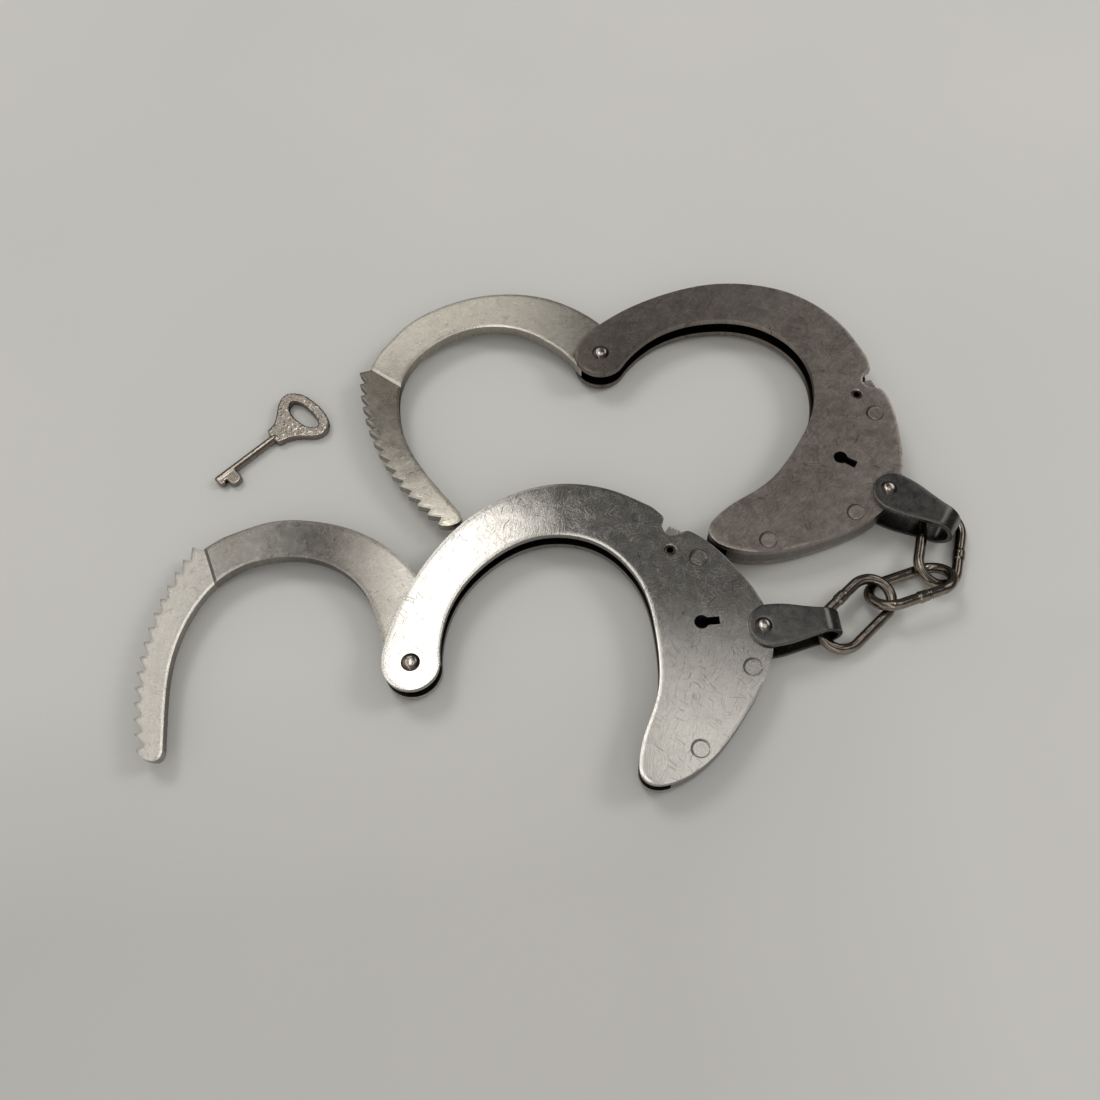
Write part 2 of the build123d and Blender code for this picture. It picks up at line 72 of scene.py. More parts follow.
# holes and flush rivets without a rolled look round them: x, y, radius
CALM = [(0.0, 0.0, 4.5), (74.2, 25.8, 3.0), (78.9, 3.25, 6.0), (95.0, 0.0, 7.0)]
CALM += [(x, y, 4.2) for x, y in RINGS]
RINGS_B = [on_cuff_b(x, y) for x, y in RINGS]
CALM_B = [(*on_cuff_b(x, y), radius) for x, y, radius in CALM]

# ---------------------------------------------------------------- colours of wear and stains, and of painted shade and highlights
# side walls: duller cut steel, darkened further as painted shade
WALL_DULL_AND_SHADE = (0.07, 0.06, 0.052)
BROWN = (0.20, 0.155, 0.125)
DARK_SCRATCH = (0.07, 0.058, 0.05)
LIGHT_SCRATCH = (0.88, 0.87, 0.85)
# rivet seam: a dark joint line, heavier on one side as painted shade
SEAM_LINE_AND_SHADE = (0.06, 0.05, 0.043)
GOUGE = (0.05, 0.04, 0.034)
# edges: bare worn metal, lightened as a painted highlight
BARE_EDGE_AND_GLINT = (0.85, 0.83, 0.80)
# painted shade in the recesses of worn steel
BLACK_SHADE = (0.014, 0.011, 0.009)
RUBBED = (0.9, 0.88, 0.85)
# painted shade on the slopes of domed and rounded parts
SLOPE_SHADE_BROWN = (0.06, 0.04, 0.03)
# painted shade near neighbouring parts on plated metal
BROWN_SHADE = (0.05, 0.038, 0.028)

# sets of parallel scratches: degrees, length, gap (mm), share of cells that hold one
LIGHT_HATCHES = [(22, 2.6, 0.5, 0.40), (68, 3.8, 0.6, 0.36), (-48, 2.2, 0.5, 0.34),
                 (104, 2.9, 0.5, 0.34), (-15, 1.6, 0.4, 0.34)]
DARK_HATCHES = [(40, 2.2, 0.7, 0.26), (-70, 3.2, 0.9, 0.22)]


# ---------------------------------------------------------------- node graph builder
class Graph:
    """Builds a shader node tree. Inputs are sockets, floats or tuples."""

    def __init__(self, tree):
        self.tree = tree
        tree.nodes.clear()

    def put(self, kind, inputs=None, out=0, **props):
        """Adds a node and returns one of its outputs, if it has any."""
        node = self.tree.nodes.new(kind)
        for key, value in props.items():
            setattr(node, key, value)
        for key, value in (inputs or {}).items():
            socket = node.inputs[key]
            if isinstance(value, bpy.types.NodeSocket):
                self.tree.links.new(value, socket)
            elif isinstance(value, tuple) and len(socket.default_value) == 4:
                socket.default_value = value + (1.0,)
            else:
                socket.default_value = value
        return node.outputs[out] if node.outputs else None

    def calc(self, op, a, b=0.0, c=0.0, clamp=False):
        return self.put("ShaderNodeMath", {0: a, 1: b, 2: c}, operation=op, use_clamp=clamp)

    def add(self, a, b, clamp=False):
        return self.calc("ADD", a, b, clamp=clamp)

    def sub(self, a, b):
        return self.calc("SUBTRACT", a, b)

    def mul(self, product, *factors):
        for factor in factors:
            product = self.calc("MULTIPLY", product, factor)
        return product

    def weigh(self, a, share_a, b, share_b):
        return self.add(self.mul(a, share_a), self.mul(b, share_b))

    def sway(self, value, amount):
        """A value from 0 to 1, centred on 0 and scaled."""
        return self.mul(self.sub(value, 0.5), amount)

    def remap(self, value, start, end, to=(0.0, 1.0), smooth=False):
        return self.put("ShaderNodeMapRange", {0: value, 1: start, 2: end, 3: to[0], 4: to[1]},
                        interpolation_type="SMOOTHSTEP" if smooth else "LINEAR", clamp=True)

    def fall(self, value, start, end, smooth=False):
        return self.remap(value, start, end, (1.0, 0.0), smooth)

    def near_zero(self, value, start, end, smooth=False):
        """1 round zero, falling to 0 on both sides."""
        return self.fall(self.calc("ABSOLUTE", value), start, end, smooth)

    def vec(self, op, a, b=(0, 0, 0)):
        out = "Value" if op in ("LENGTH", "DOT_PRODUCT") else "Vector"
        return self.put("ShaderNodeVectorMath", {0: a, 1: b}, out, operation=op)

    def vector(self, x, y, z):
        return self.put("ShaderNodeCombineXYZ", {0: x, 1: y, 2: z})

    def times(self, vector, factor):
        """A vector or colour times one value."""
        return self.vec("MULTIPLY", vector, self.vector(factor, factor, factor))

    def xyz(self, vector):
        return tuple(self.put("ShaderNodeSeparateXYZ", {0: vector}).node.outputs)

    def mix(self, share, a, b):
        return self.put("ShaderNodeMix", {0: share, 6: a, 7: b}, 2,
                        data_type="RGBA", clamp_factor=True)

    def noise(self, place, scale, detail, rough=0.5, distort=0.0, out=0):
        return self.put("ShaderNodeTexNoise",
                        {"Vector": place, "Scale": scale, "Detail": detail,
                         "Roughness": rough, "Distortion": distort}, out)

    def place(self):
        """Position on the part in millimetres, riding with it."""
        return self.vec("MULTIPLY", self.put("ShaderNodeTexCoord", out="Object"), (1000.0,) * 3)

    def normal(self):
        return self.put("ShaderNodeNewGeometry", out="Normal")

    def bevel(self, radius, samples):
        return self.put("ShaderNodeBevel", {"Radius": radius * MM}, samples=samples)

    def openness(self, reach):
        """Ambient occlusion over `reach` mm, low in recesses."""
        return self.put("ShaderNodeAmbientOcclusion", {"Distance": reach * MM}, "AO", samples=4)

    def offset(self, place, x, y):
        """The flat offset of a place from an upright axis."""
        return self.vec("MULTIPLY", self.vec("SUBTRACT", place, (x, y, 0.0)), (1, 1, 0))

    def turned(self, x, y, angle):
        """A place measured along and across a direction, given in radians."""
        if isinstance(angle, bpy.types.NodeSocket):
            cos, sin = self.calc("COSINE", angle), self.calc("SINE", angle)
        else:
            cos, sin = math.cos(angle), math.sin(angle)
        return (self.add(self.mul(x, cos), self.mul(y, sin)),
                self.sub(self.mul(y, cos), self.mul(x, sin)))

    def squeezed(self, place, degrees, scale):
        return self.put("ShaderNodeMapping", {"Vector": place, "Scale": scale,
                                              "Rotation": (0, 0, math.radians(degrees))})

    def cells(self, place):
        """Random flat cells: the offset from the cell's point and its three random values."""
        point = self.put("ShaderNodeTexVoronoi",
                         {"Vector": place, "Scale": 1.0, "Randomness": 1.0}, "Position",
                         voronoi_dimensions="2D", feature="F1")
        color = self.put("ShaderNodeSeparateColor", {0: point.node.outputs["Color"]})
        return self.vec("SUBTRACT", place, point), tuple(color.node.outputs)

    def strokes(self, place, size, width, seed, share, curve, length=0.42):
        """Short scratches, one per cell of about `size` mm, each with its own direction,
        bow and strength. `length` is half a scratch, in cells."""
        shifted = self.vec("ADD", place, (seed * 17.3, seed * 9.1, 0))
        offset, (heading, bend, strength) = self.cells(
            self.vec("MULTIPLY", shifted, (1 / size, 1 / size, 0.02)))
        x, y, _ = self.xyz(offset)
        along, across = self.turned(x, y, self.mul(heading, 2 * math.pi))
        bow = self.sway(bend, curve * 2)
        across = self.sub(across, self.mul(bow, self.mul(along, along)))
        half = width / size
        line = self.near_zero(across, half * 0.4, half, smooth=True)
        ends = self.near_zero(along, length * 0.5, length, smooth=True)
        return self.mul(line, ends, self.remap(strength, 1 - share, 1.0))

    def hatch(self, place, degrees, length, gap, width, seed, share, tilt=0.08):
        """Fine straight scratches that all run roughly one way; sizes in mm."""
        x, y, _ = self.xyz(place)
        along, across = self.turned(x, y, math.radians(degrees))
        offset, (lean, _, strength) = self.cells(self.vector(
            self.calc("MULTIPLY_ADD", along, 1 / length, seed * 7.13),
            self.calc("MULTIPLY_ADD", across, 1 / gap, seed * 3.71), 0.0))
        along, across, _ = self.xyz(self.vec("MULTIPLY", offset, (length, gap, 0)))
        across = self.add(across, self.mul(along, self.sway(lean, 2 * tilt)))
        line = self.near_zero(across, width * 0.25, width * 0.75)
        ends = self.near_zero(along, length * 0.2, length * 0.45, smooth=True)
        return self.mul(line, ends, self.remap(strength, 1 - share, 1.0))

    def bump(self, strength, depth, height, base):
        return self.put("ShaderNodeBump", {"Strength": strength, "Distance": depth * MM,
                                           "Height": height, "Normal": base})

    def metal(self, color, rough, normal):
        return self.put("ShaderNodeBsdfPrincipled", {"Base Color": color, "Metallic": 1.0,
                                                     "Roughness": rough, "Normal": normal})

    def finish(self, surface, kind="Material"):
        self.put("ShaderNodeOutput" + kind, {"Surface": surface})


def material(name):
    m = bpy.data.materials.new(name)
    m.use_nodes = True
    return m, Graph(m.node_tree)


# ---------------------------------------------------------------- parts of the worn steel
def light_scratches(g, place, bent, seed):
    marks = g.strokes(place, size=10.0, width=0.13, seed=seed + 1, share=0.3, curve=0.4)
    for degrees, length, gap, share in LIGHT_HATCHES:
        marks = g.calc("MAXIMUM", marks, g.hatch(
            bent, degrees + seed * 17, length, gap, 0.10, seed + degrees * 0.01, share))
    return marks


def dark_scratches(g, place, bent, seed, worn):
    marks = g.strokes(place, size=6.0, width=0.14, seed=seed + 4, share=0.4, curve=0.9)
    for degrees, length, gap, share in DARK_HATCHES:
        marks = g.calc("MAXIMUM", marks, g.hatch(
            bent, degrees + seed * 23, length * worn, gap, 0.12 * worn,
            seed + degrees * 0.013, share * worn))
    return marks


def gouges(g, bent, fine, seed):
    """Wide, ragged marks."""
    marks = g.calc(
        "MAXIMUM",
        g.strokes(bent, size=8.0, width=0.34, seed=seed + 7, share=0.35, curve=0.8, length=0.2),
        g.strokes(bent, size=5.0, width=0.26, seed=seed + 8, share=0.25, curve=1.2, length=0.22))
    return g.mul(marks, g.remap(fine, 0.35, 0.55, to=(0.35, 1.0)))


def brushing(g, place, bent, grain, coarse):
    """Brushed streaks, 0 to 1: round the origin, or straight at `grain` degrees."""
    if grain == "round":
        x, y, z = g.xyz(place)
        across = g.vec("LENGTH", g.vector(x, y, 0.0))
        along = g.mul(g.calc("ARCTAN2", y, x), 70.0)
        density = (0.12, 4.0)
    else:
        x, y, z = g.xyz(bent)
        along, across = g.turned(x, y, math.radians(grain))
        density = (0.15, 3.6 / coarse)
    stretched = g.vector(g.mul(along, density[0]), g.mul(across, density[1]), g.mul(z, 2.0))
    return g.remap(g.noise(stretched, scale=1.0, detail=4, rough=0.7), 0.32, 0.68)


def seam_line_and_shade(g, place, smear, x, y, color):
    """A dark line in the seam of a flush rivet, with painted shade making it heavier on its -X,
    +Y side.
    """
    offset = g.offset(place, x, y)
    seam = g.near_zero(g.sub(g.vec("LENGTH", offset), RIVET_SEAM), 0.08, 0.34)
    off_x, off_y, _ = g.xyz(offset)
    uneven = g.add(g.sub(off_y, off_x), g.sway(smear, 8.0))
    return g.mix(g.mul(seam, g.remap(uneven, -2.0, 2.0, to=(0.15, 0.9))), color, SEAM_LINE_AND_SHADE)


def worn_and_glinting_edges(g):
    """1 near edges, where the rounded normal leaves the true one; marks bare worn metal with a
    painted highlight.
    """
    rounded = g.bevel(radius=0.3, samples=3)
    return g.fall(g.vec("DOT_PRODUCT", rounded, g.normal()), 1 - 0.06, 1.0, smooth=True)


def rolled_normal(g, place, roll, calm):
    """The true normal, leaning towards a wide rounding of the nearest edge."""
    for x, y, radius in calm:
        away = g.vec("LENGTH", g.offset(place, x, y))
        roll = g.mul(roll, g.remap(away, radius, radius + 1.0))
    rounded = g.bevel(radius=1.9, samples=4)
    true = g.normal()
    lean = g.times(g.vec("SUBTRACT", rounded, true), roll)
    return g.vec("NORMALIZE", g.vec("ADD", true, lean))


# Painted shade: darker where ambient occlusion is low, black on upward faces below DEEP_BELOW.
def recess_shade(g, place, smear, hollow_shade, deep):
    open_share = g.add(g.openness(reach=4.5), g.sway(smear, 0.25))
    shade_mask = g.mul(g.fall(open_share, 0.15, 0.6), hollow_shade)
    if deep:
        faces_up = g.calc("GREATER_THAN", g.xyz(g.normal())[2], 0.5)
        low = g.calc("LESS_THAN", g.xyz(place)[2], DEEP_BELOW)
        shade_mask = g.calc("MAXIMUM", shade_mask, g.mul(faces_up, low))
    return shade_mask


def worn_steel(name, light, dark, rough, haze, seed, grain, grain_amount=0.5, coarse=1.0,
               lines=1.0, hair=0.7, worn=1.0, gouge=0.5, uneven=0.5, tint=BROWN,
               tint_amount=0.25, wall=0.5, edge=0.0, roll=0.0, calm=(), rings=(), hollow_shade=1.0,
               deep=False, shade=None):
    """Plain steel with brushing, scratches of many sizes, smudges and painted shade in the
    recesses.

    rough, haze: ranges of the roughness and of the share of a duller second coat
    grain, grain_amount, coarse: direction, strength and coarseness of the brushing
    lines, hair, worn, gouge: strength of all scratches, light ones, dark ones and gouges
    uneven, tint_amount, wall: light and dark patches, brown patches, side walls duller and
    darkened by painted shade
    edge, roll: bare edges with a painted highlight, and how far edges look rolled, except at
    `calm`
    rings, grime, deep: dark rivet seam lines with painted shade, painted shade in recesses,
    painted black shade below DEEP_BELOW
    shade: function that changes the colour over the part
    """
    m, g = material(name)
    place = g.place()
    shifted = g.vec("ADD", place, (seed * 31.7, seed * 13.9, seed * 5.3))
    patches = g.noise(shifted, scale=0.05, detail=3, rough=0.55)
    smear = g.noise(shifted, scale=0.28, detail=5, rough=0.62, distort=0.6)
    fine = g.noise(shifted, scale=2.6, detail=3, rough=0.65)
    bend = g.noise(shifted, scale=0.11, detail=1.0, out="Color")
    bend = g.vec("MULTIPLY", g.vec("SUBTRACT", bend, (0.5, 0.5, 0.5)), (5.0, 5.0, 5.0))
    bent = g.vec("ADD", shifted, bend)

    # light and dark scratches keep to different zones
    bright = light_scratches(g, place, bent, seed)
    darks = dark_scratches(g, place, bent, seed, worn)
    zone = g.remap(g.noise(shifted, scale=0.09, detail=2), 0.36, 0.64, to=(0.3, 1.0))
    bright = g.mul(bright, g.mul(zone, hair))
    darks = g.mul(darks, g.remap(zone, 0.3, 1.0, to=(1.0, 0.4)))
    streak = brushing(g, place, bent, grain, coarse)

    # clean colour
    body = g.weigh(g.remap(smear, 0.3, 0.7), 0.5, g.remap(patches, 0.35, 0.65), 0.5)
    color = g.mix(g.add(g.sway(body, 2 * uneven), 0.5, clamp=True), dark, light)
    if shade:
        color = shade(g, place, color)
    # the cut side walls are duller than the polished faces, and darkened further as painted
    # shade
    upright = g.calc("ABSOLUTE", g.xyz(g.normal())[2])
    color = g.mix(g.remap(upright, 0.15, 0.45, to=(wall, 0.0), smooth=True), color, WALL_DULL_AND_SHADE)

    # wear and painted light: brown patches, brushing, dark scratches, seam lines with painted
    # shade, gouges, and bare edges with a painted highlight
    stained = g.remap(g.noise(shifted, scale=0.16, detail=4, rough=0.6), 0.5, 0.7)
    color = g.mix(g.mul(stained, tint_amount), color, tint)
    color = g.mix(g.mul(g.sub(1.0, streak), 0.40 * grain_amount), color, tint)
    scratched = g.calc("MULTIPLY", darks, 0.55 * lines * worn, clamp=True)
    color = g.mix(scratched, color, DARK_SCRATCH)
    for x, y in rings:
        color = seam_line_and_shade(g, place, smear, x, y, color)
    color = g.mix(g.mul(gouges(g, bent, fine, seed), gouge), color, GOUGE)
    if edge:
        color = g.mix(g.mul(worn_and_glinting_edges(g), edge), color, BARE_EDGE_AND_GLINT)

    # relief: brushing stands up, scratches cut in
    roughness = g.remap(g.weigh(smear, 0.5, fine, 0.5), 0.35, 0.65, to=rough)
    height = g.sub(g.mul(streak, 0.55 * grain_amount), g.mul(bright, 0.4 * lines))
    height = g.sub(height, g.mul(darks, 0.6 * lines))
    height = g.add(height, g.weigh(fine, 0.12, smear, 0.6))
    base = rolled_normal(g, place, roll, calm) if roll else g.normal()
    normal = g.bump(strength=0.4, depth=0.03, height=height, base=base)

    # painted shade in recesses covers both coats
    hazy = g.mix(g.mul(bright, 0.5 * lines), color, LIGHT_SCRATCH)
    shade_mask = recess_shade(g, place, smear, hollow_shade, deep)
    color, hazy = [g.mix(g.mul(shade_mask, 0.95), coat, BLACK_SHADE) for coat in (color, hazy)]
    roughness = g.add(roughness, g.mul(shade_mask, 0.3), clamp=True)
    clear_coat = g.metal(color, roughness, normal)
    hazy_coat = g.metal(hazy, 0.32, normal)
    share = g.remap(smear, 0.35, 0.65, to=haze)
    share = g.add(share, g.mul(bright, 0.42 * lines), clamp=True)
    g.finish(g.put("ShaderNodeMixShader", {0: share, 1: clear_coat, 2: hazy_coat}))
    return m


def polished(name, color, rough, seed, tint=(0.30, 0.23, 0.17), bump=0.3, hollow_shade=0.8,
             crown=0.0, slope_shade=0.0):
    """Smooth plated metal: faint rubbing marks, brown patches, painted shade near its
    neighbours.

    crown flattens the look of the top; rim paints shade on the slopes round it.
    """
    m, g = material(name)
    shifted = g.vec("ADD", g.place(), (seed * 11.7, seed * 23.9, seed * 7.3))
    smear = g.noise(shifted, scale=0.5, detail=4, rough=0.6, distort=0.4)
    fine = g.noise(shifted, scale=3.0, detail=3, rough=0.6)
    # rubbing marks: degrees, squeeze on each axis, noise level where they start and are full
    marks = [g.remap(g.noise(g.squeezed(shifted, degrees, scale), scale=1.0, detail=2),
                     start, full, smooth=True)
             for degrees, scale, start, full in ((25, (0.3, 4.0, 3.0), 0.62, 0.68),
                                                 (-60, (0.3, 5.0, 3.0), 0.64, 0.70))]
    line = g.calc("MAXIMUM", *marks)
    color = g.mix(g.mul(g.remap(smear, 0.4, 0.7), 0.5), color, tint)
    color = g.mix(g.mul(line, 0.175), color, RUBBED)
    roughness = g.remap(g.weigh(smear, 0.6, fine, 0.4), 0.3, 0.7, to=rough)
    roughness = g.add(roughness, g.mul(line, 0.06), clamp=True)
    height = g.sub(g.mul(smear, 0.8), g.mul(line, 0.2))
    base = g.normal()
    if crown or slope_shade:
        up = g.xyz(base)[2]
    if crown:
        flat = g.mul(g.remap(up, 0.84, 0.97, smooth=True), crown)
        base = g.vec("NORMALIZE", g.vec("ADD", base, g.vector(0.0, 0.0, flat)))
    # painted shade on the sloping sides
    if slope_shade:
        color = g.mix(g.mul(g.fall(up, 0.74, 0.94, smooth=True), slope_shade), color, SLOPE_SHADE_BROWN)
    normal = g.bump(strength=bump, depth=0.04, height=height, base=base)
    # painted shade where neighbouring parts are close
    shade_mask = g.mul(g.fall(g.openness(reach=2.5), 0.15, 0.6), hollow_shade)
    g.finish(g.metal(g.mix(shade_mask, color, BROWN_SHADE), roughness, normal))
    return m


# ---------------------------------------------------------------- shading over single parts
def past_step(g, place, turn=0.0, at=(0.0, 0.0)):
    """Distance in mm beyond an arm's step, positive on the toothed part."""
    x, y, _ = g.xyz(place)
    along, across = g.turned(g.sub(x, at[0]), g.sub(y, at[1]), math.radians(turn))
    return g.add(g.mul(g.add(along, -STEP_AT[0]), STEP_NORMAL[0]),
                 g.mul(g.sub(across, STEP_AT[1]), STEP_NORMAL[1]))


def shade_arm_a(g, place, color):
    """Darker towards +X as painted shade, brighter teeth, and a stain just before the step."""
    beyond = past_step(g, place)
    toothed = g.remap(beyond, -0.15, 0.15)
    x = g.xyz(place)[0]
    # painted shade towards +X, near the hinge
    hinge_shade = g.mul(g.remap(x, -40.0, -24.0, smooth=True),
                 g.remap(x, -22.0, -2.0, to=(0.60, 0.34)))
    color = g.mix(hinge_shade, color, (0.06, 0.05, 0.04))
    color = g.mix(g.mul(toothed, 0.85), color, (0.72, 0.70, 0.65))
    stain = g.mul(g.remap(beyond, -13.0, -6.0, smooth=True), g.fall(beyond, -0.2, 0.0))
    return g.mix(g.mul(stain, 0.25), color, (0.22, 0.20, 0.17))


def shade_arm_b(g, place, color):
    """Darker teeth near the step."""
    beyond = past_step(g, place, ARM_B_TURN, CUFF_B_AT)
    toothed = g.remap(beyond, -0.15, 0.15)
    near = g.remap(beyond, 4.0, 40.0, to=(0.75, 0.0))
    return g.mix(g.mul(toothed, near), color, (0.10, 0.085, 0.06))


def shade_plate_a(g, place, color):
    """Painted light: brighter towards -Y."""
    y = g.xyz(place)[1]
    return g.times(color, g.remap(y, 14.0, -4.0, to=(1.0, 1.32), smooth=True))


def shade_plate_b(g, place, color):
    """Painted light: brighter away from cuff B's origin."""
    away = g.vec("LENGTH", g.offset(place, *CUFF_B_AT))
    return g.times(color, g.remap(away, 6.0, 52.0, to=(0.66, 1.55)))


# ---------------------------------------------------------------- materials of the parts
plate_a = worn_steel(
    "plate_steel_a", light=(0.66, 0.65, 0.62), dark=(0.50, 0.485, 0.46), rough=(0.045, 0.08),
    haze=(0.10, 0.24), seed=1, grain=78, grain_amount=0.45, hair=0.48, worn=1.2, uneven=0.22,
    tint_amount=0.12, wall=0.4, roll=0.16, calm=CALM, rings=RINGS, hollow_shade=0.5, deep=True,
    shade=shade_plate_a)
plate_b = worn_steel(
    "plate_steel_b", light=(0.50, 0.455, 0.42), dark=(0.36, 0.32, 0.29), rough=(0.10, 0.18),
    haze=(0.4, 0.6), seed=2, grain=38, grain_amount=1.3, coarse=1.7, hair=0.45, worn=1.45,
    gouge=0.7, uneven=0.3, tint_amount=0.3, wall=0.45, roll=0.10, calm=CALM_B, rings=RINGS_B,
    hollow_shade=0.5, deep=True, shade=shade_plate_b)
# the core sits between the plates: its darker colour is painted shade
core = worn_steel(
    "case_core_steel", light=(0.42, 0.39, 0.36), dark=(0.26, 0.24, 0.22), rough=(0.25, 0.35),
    haze=(0.4, 0.7), seed=3, grain=0, deep=True)
arm_a = worn_steel(
    "arm_steel_a", light=(0.62, 0.61, 0.57), dark=(0.48, 0.46, 0.42), rough=(0.07, 0.12),
    haze=(0.2, 0.4), seed=4, grain="round", grain_amount=0.6, lines=0.8, gouge=0.2,
    tint_amount=0.1, edge=0.25, roll=0.25, shade=shade_arm_a)
arm_b = worn_steel(
    "arm_steel_b", light=(0.82, 0.79, 0.71), dark=(0.66, 0.63, 0.55), rough=(0.08, 0.14),
    haze=(0.2, 0.45), seed=5, grain=15, grain_amount=0.7, lines=0.9, gouge=0.2,
    tint_amount=0.1, edge=0.25, roll=0.25, shade=shade_arm_b)
flush_a = worn_steel(
    "flush_rivets_a", light=(0.62, 0.61, 0.58), dark=(0.50, 0.485, 0.46), rough=(0.06, 0.10),
    haze=(0.14, 0.34), seed=1, grain=78, uneven=0.22, hollow_shade=0.6, shade=shade_plate_a)
flush_b = worn_steel(
    "flush_rivets_b", light=(0.47, 0.43, 0.40), dark=(0.36, 0.32, 0.29), rough=(0.10, 0.18),
    haze=(0.4, 0.7), seed=2, grain=38, uneven=0.3, tint_amount=0.3, hollow_shade=0.6,
    shade=shade_plate_b)
strap = worn_steel(
    "strap_steel", light=(0.26, 0.265, 0.26), dark=(0.13, 0.13, 0.127), rough=(0.12, 0.2),
    haze=(0.25, 0.45), seed=6, grain=10, lines=0.8, roll=0.15, tint=(0.10, 0.085, 0.07))
slide = worn_steel(
    "slide_steel", light=(0.66, 0.65, 0.62), dark=(0.50, 0.48, 0.45), rough=(0.15, 0.25),
    haze=(0.4, 0.6), seed=8, grain=0, hollow_shade=0.3)
# darker than the plates, as painted shade between them
lock_parts = worn_steel(
    "lock_parts_steel", light=(0.40, 0.38, 0.36), dark=(0.26, 0.25, 0.23), rough=(0.25, 0.35),
    haze=(0.4, 0.6), seed=7, grain=0, deep=True)
rivet = polished("rivet_polish", (0.60, 0.56, 0.52), rough=(0.10, 0.2), seed=1,
                 crown=1.2, slope_shade=0.9, bump=0.6)
wire = polished("chain_wire", (0.31, 0.27, 0.23), rough=(0.07, 0.15), seed=2,
                tint=(0.12, 0.088, 0.062), hollow_shade=0.95)
key_nickel = polished("key_nickel", (0.52, 0.48, 0.43), rough=(0.16, 0.26), seed=3,
                      tint=(0.34, 0.235, 0.15), hollow_shade=1.0, slope_shade=0.55)

# ending of a part's name, material on cuff A, material elsewhere; the first match counts
ENDINGS = [
    ("cheek_plate", plate_a, plate_b), ("lock_body", core, core),
    ("ratchet_arm", arm_a, arm_b), ("strap", strap, strap),
    ("hinge_rivet", rivet, rivet), ("chain_rivet", rivet, rivet),
    ("case_rivets", flush_a, flush_b), ("slide", slide, slide), ("pawl_pin", wire, wire),
]


def material_for(name):
    for ending, on_a, elsewhere in ENDINGS:
        if name.endswith(ending):
            return on_a if name.startswith("cuff_a") else elsewhere
    if name.startswith("chain_link"):
        return wire
    return key_nickel if name.startswith("key") else lock_parts


for name, part in nodes.items():
    for face in part.data.polygons:
        face.use_smooth = True
    part.data.materials.clear()
    part.data.materials.append(material_for(name))


# ---------------------------------------------------------------- soft, lumpy key and chain
def cloud_texture(name, size):
    texture = bpy.data.textures.new(name, "CLOUDS")
    texture.noise_scale = size * MM
    texture.noise_depth = 1
    return texture


def soften(part, voxel, rounds, lumps):
    """Softens edges and gives a lumpy skin by modifiers only; `lumps` are (texture, mm)."""
    remesh = part.modifiers.new("even_mesh", "REMESH")
    remesh.mode = "VOXEL"
    remesh.voxel_size = voxel * MM
    remesh.use_smooth_shade = True
    smooth = part.modifiers.new("soft_edges", "SMOOTH")
    smooth.iterations = rounds
    smooth.factor = 0.5
    for i, (texture, amount) in enumerate(lumps):
        displace = part.modifiers.new("lumps_%d" % i, "DISPLACE")
        displace.texture = texture
        displace.texture_coords = "LOCAL"
        displace.strength = amount * MM
        displace.mid_level = 0.5


hammer = cloud_texture("hammer_marks", size=0.9)
swell = cloud_texture("slow_swell", size=2.4)
soften(nodes["key_bow"], voxel=0.24, rounds=4, lumps=[(hammer, 0.22)])
# without a texture the shank thickens evenly
soften(nodes["key_shank"], voxel=0.24, rounds=2, lumps=[(None, 0.2), (hammer, 0.05)])
for name, part in nodes.items():
    if name.startswith("chain_link"):
        soften(part, voxel=0.3, rounds=2, lumps=[(swell, 0.07)])


# ---------------------------------------------------------------- floor
def table_material():
    m, g = material("pale_table")
    place = g.place()
    patches = g.noise(place, scale=0.004, detail=3)
    color = g.mix(g.remap(patches, 0.35, 0.65), (0.585, 0.58, 0.552), (0.622, 0.612, 0.595))
    # painted shade: dimmer towards -Y, on the -X side
    x, y, _ = g.xyz(place)
    color = g.times(color, g.calc("MAXIMUM", g.remap(y, -60.0, 5.0, to=(0.86, 1.0)),
                                  g.remap(x, 60.0, 140.0, to=(0.86, 0.98))))
    # mirrored in the steel, the table turns dark with distance and towards +Y
    distance = g.put("ShaderNodeLightPath", out="Ray Length")
    back_y = g.xyz(g.put("ShaderNodeNewGeometry", out="Incoming"))[1]
    away = g.calc("MAXIMUM", g.remap(distance, 0.03, 0.16), g.remap(back_y, -0.1, -0.6))
    away = g.mul(distance.node.outputs["Is Glossy Ray"], away)
    color = g.mix(away, color, (0.09, 0.082, 0.076))
    g.finish(g.put("ShaderNodeBsdfPrincipled",
                   {"Base Color": color, "Roughness": 0.8, "Specular IOR Level": 0.1}))
    return m


def add_floor(half_width=4.0, gap=0.00002):
    mesh = bpy.data.meshes.new("floor")
    bm = bmesh.new()
    bmesh.ops.create_grid(bm, x_segments=2, y_segments=2, size=half_width)
    bm.to_mesh(mesh)
    floor = bpy.data.objects.new("floor", mesh)
    bpy.context.scene.collection.objects.link(floor)
    floor.location = (0, 0, cad_lo.z - gap)
    mesh.materials.append(table_material())


add_floor()

# ---------------------------------------------------------------- lights
LIGHTS_AIM = Vector((0.05, 0.03, 0))
# name, place, size in x and y (m), power (W), colour
LIGHTS = [
    ("key", (-0.55, 1.05, 1.5), (0.6, 0.6), 7.5, (1.0, 0.985, 0.96)),
    ("cross", (1.25, 0.25, 1.0), (0.45, 0.45), 5.0, (1.0, 0.985, 0.97)),
    ("front_fill", (-0.2, -1.2, 1.4), (1.6, 1.0), 2.0, (1.0, 0.98, 0.96)),
]
for name, place, size, power, color in LIGHTS:
    light = bpy.data.lights.new(name, "AREA")
    light.shape = "RECTANGLE"
    light.size, light.size_y = size
    light.energy = power
    light.color = color
    lamp = bpy.data.objects.new(name, light)
    bpy.context.scene.collection.objects.link(lamp)
    lamp.location = place
    lamp.rotation_mode = "QUATERNION"
    lamp.rotation_quaternion = (LIGHTS_AIM - Vector(place)).to_track_quat("-Z", "Y")
    lamp.visible_glossy = False   # the steel mirrors only the world


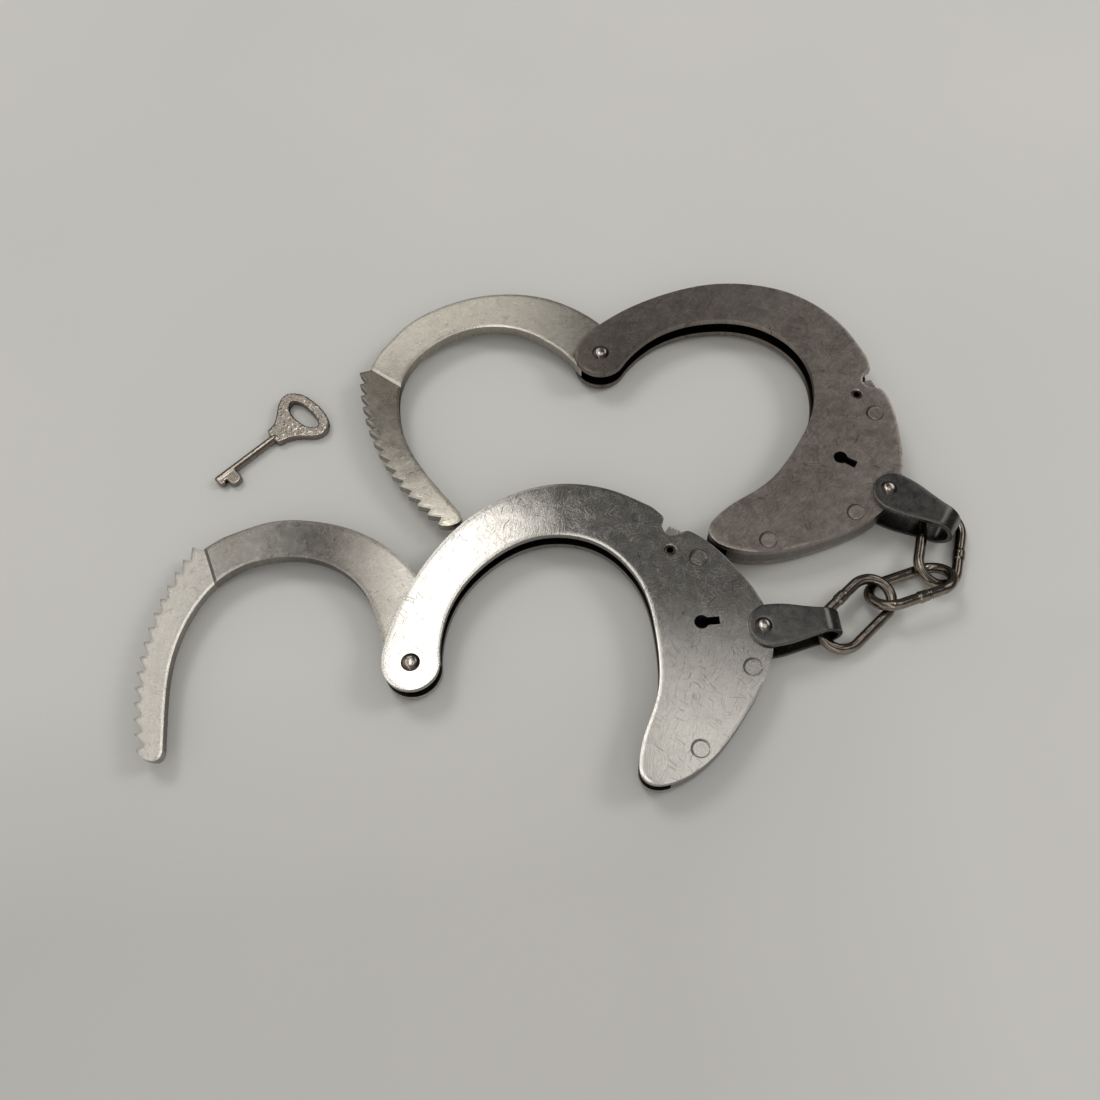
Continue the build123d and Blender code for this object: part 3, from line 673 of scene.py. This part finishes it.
# ---------------------------------------------------------------- world
def add_world(eye=(35.8, -103.9), eye_height=263.6, ambient=0.55, dark_sky=0.085):
    """An even light for matt surfaces and a sky of glowing patches for mirrors.

    eye, eye_height: the viewpoint in mm, its height taken above the plates.
    """
    world = bpy.data.worlds.new("room")
    bpy.context.scene.world = world
    world.use_nodes = True
    # present only where the Cycles add-on is loaded
    if hasattr(world, "cycles"):
        world.cycles.sampling_method = "NONE"
    g = Graph(world.node_tree)
    dx, dy, dz = g.xyz(g.put("ShaderNodeTexCoord", out="Generated"))
    up = g.calc("MAXIMUM", dz, 0.05)
    # where on the lying plates (mm) the camera sees this direction mirrored
    x = g.add(eye[0], g.mul(eye_height, g.calc("DIVIDE", dx, up)))
    y = g.add(eye[1], g.mul(eye_height, g.calc("DIVIDE", dy, up)))
    slant = g.add(y, g.mul(0.35, g.sub(x, 70)))
    from_front = g.sub(g.mul(dy, -1.0), g.mul(dz, 0.2))
    from_side = g.sub(g.mul(dx, -1.0), g.mul(dz, 0.3))
    # brightness of a patch, then its borders: value, where it is dark, where it is lit
    patches = [
        (2.8, [(x, -17, -5), (x, 38, 30), (y, 52, 40), (y, -140, -60)]),        # main lamp
        (0.75, [(slant, 16, -30), (x, 46, 64), (x, 150, 110), (y, -220, -100)]),  # +X, -Y
        (0.85, [(x, -38, -52), (y, 75, 55), (x, -200, -130)]),                  # -X
        (0.85, [(y, 86, 96), (x, 62, 30), (x, -120, -60), (y, 240, 170)]),      # +Y
        (1.0, [(x, 165, 195), (x, 420, 330), (y, -60, 0), (y, 260, 180)]),      # far +X
        (0.45, [(from_front, 0.2, 0.8)]),                                       # low, -Y
        (0.45, [(from_side, 0.4, 0.9)]),                                        # low, -X
    ]
    sky = dark_sky
    for brightness, borders in patches:
        glow = g.mul(*[g.remap(value, off, on, smooth=True) for value, off, on in borders])
        sky = g.add(sky, g.mul(glow, brightness))
    glossy = g.put("ShaderNodeLightPath", out="Is Glossy Ray")
    strength = g.add(ambient, g.mul(glossy, g.sub(sky, ambient)))
    color = g.mix(glossy, (1.0, 0.985, 0.96), (1.0, 0.975, 0.935))
    g.finish(g.put("ShaderNodeBackground", {"Color": color, "Strength": strength}), "World")


add_world()

# ---------------------------------------------------------------- camera
CAMERA_AT = (0.03579, -0.10388, 0.27298)
CAMERA_FORWARD = (-0.0253, 0.4348, -0.9002)
CAMERA_RIGHT = (0.9996, 0, -0.0281)
CAMERA_TURN = -5.46   # degrees about Z, applied to both directions


def add_camera():
    camera = bpy.data.objects.new("camera", bpy.data.cameras.new("camera"))
    bpy.context.scene.collection.objects.link(camera)
    bpy.context.scene.camera = camera
    forward = Vector(CAMERA_FORWARD).normalized()
    right = Vector(CAMERA_RIGHT)
    right = (right - right.dot(forward) * forward).normalized()
    up = right.cross(forward)
    turn = Matrix.Rotation(math.radians(CAMERA_TURN), 3, "Z")
    axes = (turn @ right, turn @ up, -(turn @ forward), Vector(CAMERA_AT))
    rows = [tuple(axis[i] for axis in axes) for i in range(3)]
    camera.matrix_world = Matrix((*rows, (0, 0, 0, 1)))
    camera.data.sensor_width = 36.0
    camera.data.lens = 34.537091
    camera.data.shift_x = -0.0026636364
    camera.data.shift_y = 0.016627273
    camera.data.clip_start, camera.data.clip_end = 0.01, 20


add_camera()
bpy.context.scene.view_settings.view_transform = "Standard"
bpy.context.scene.view_settings.look = "None"
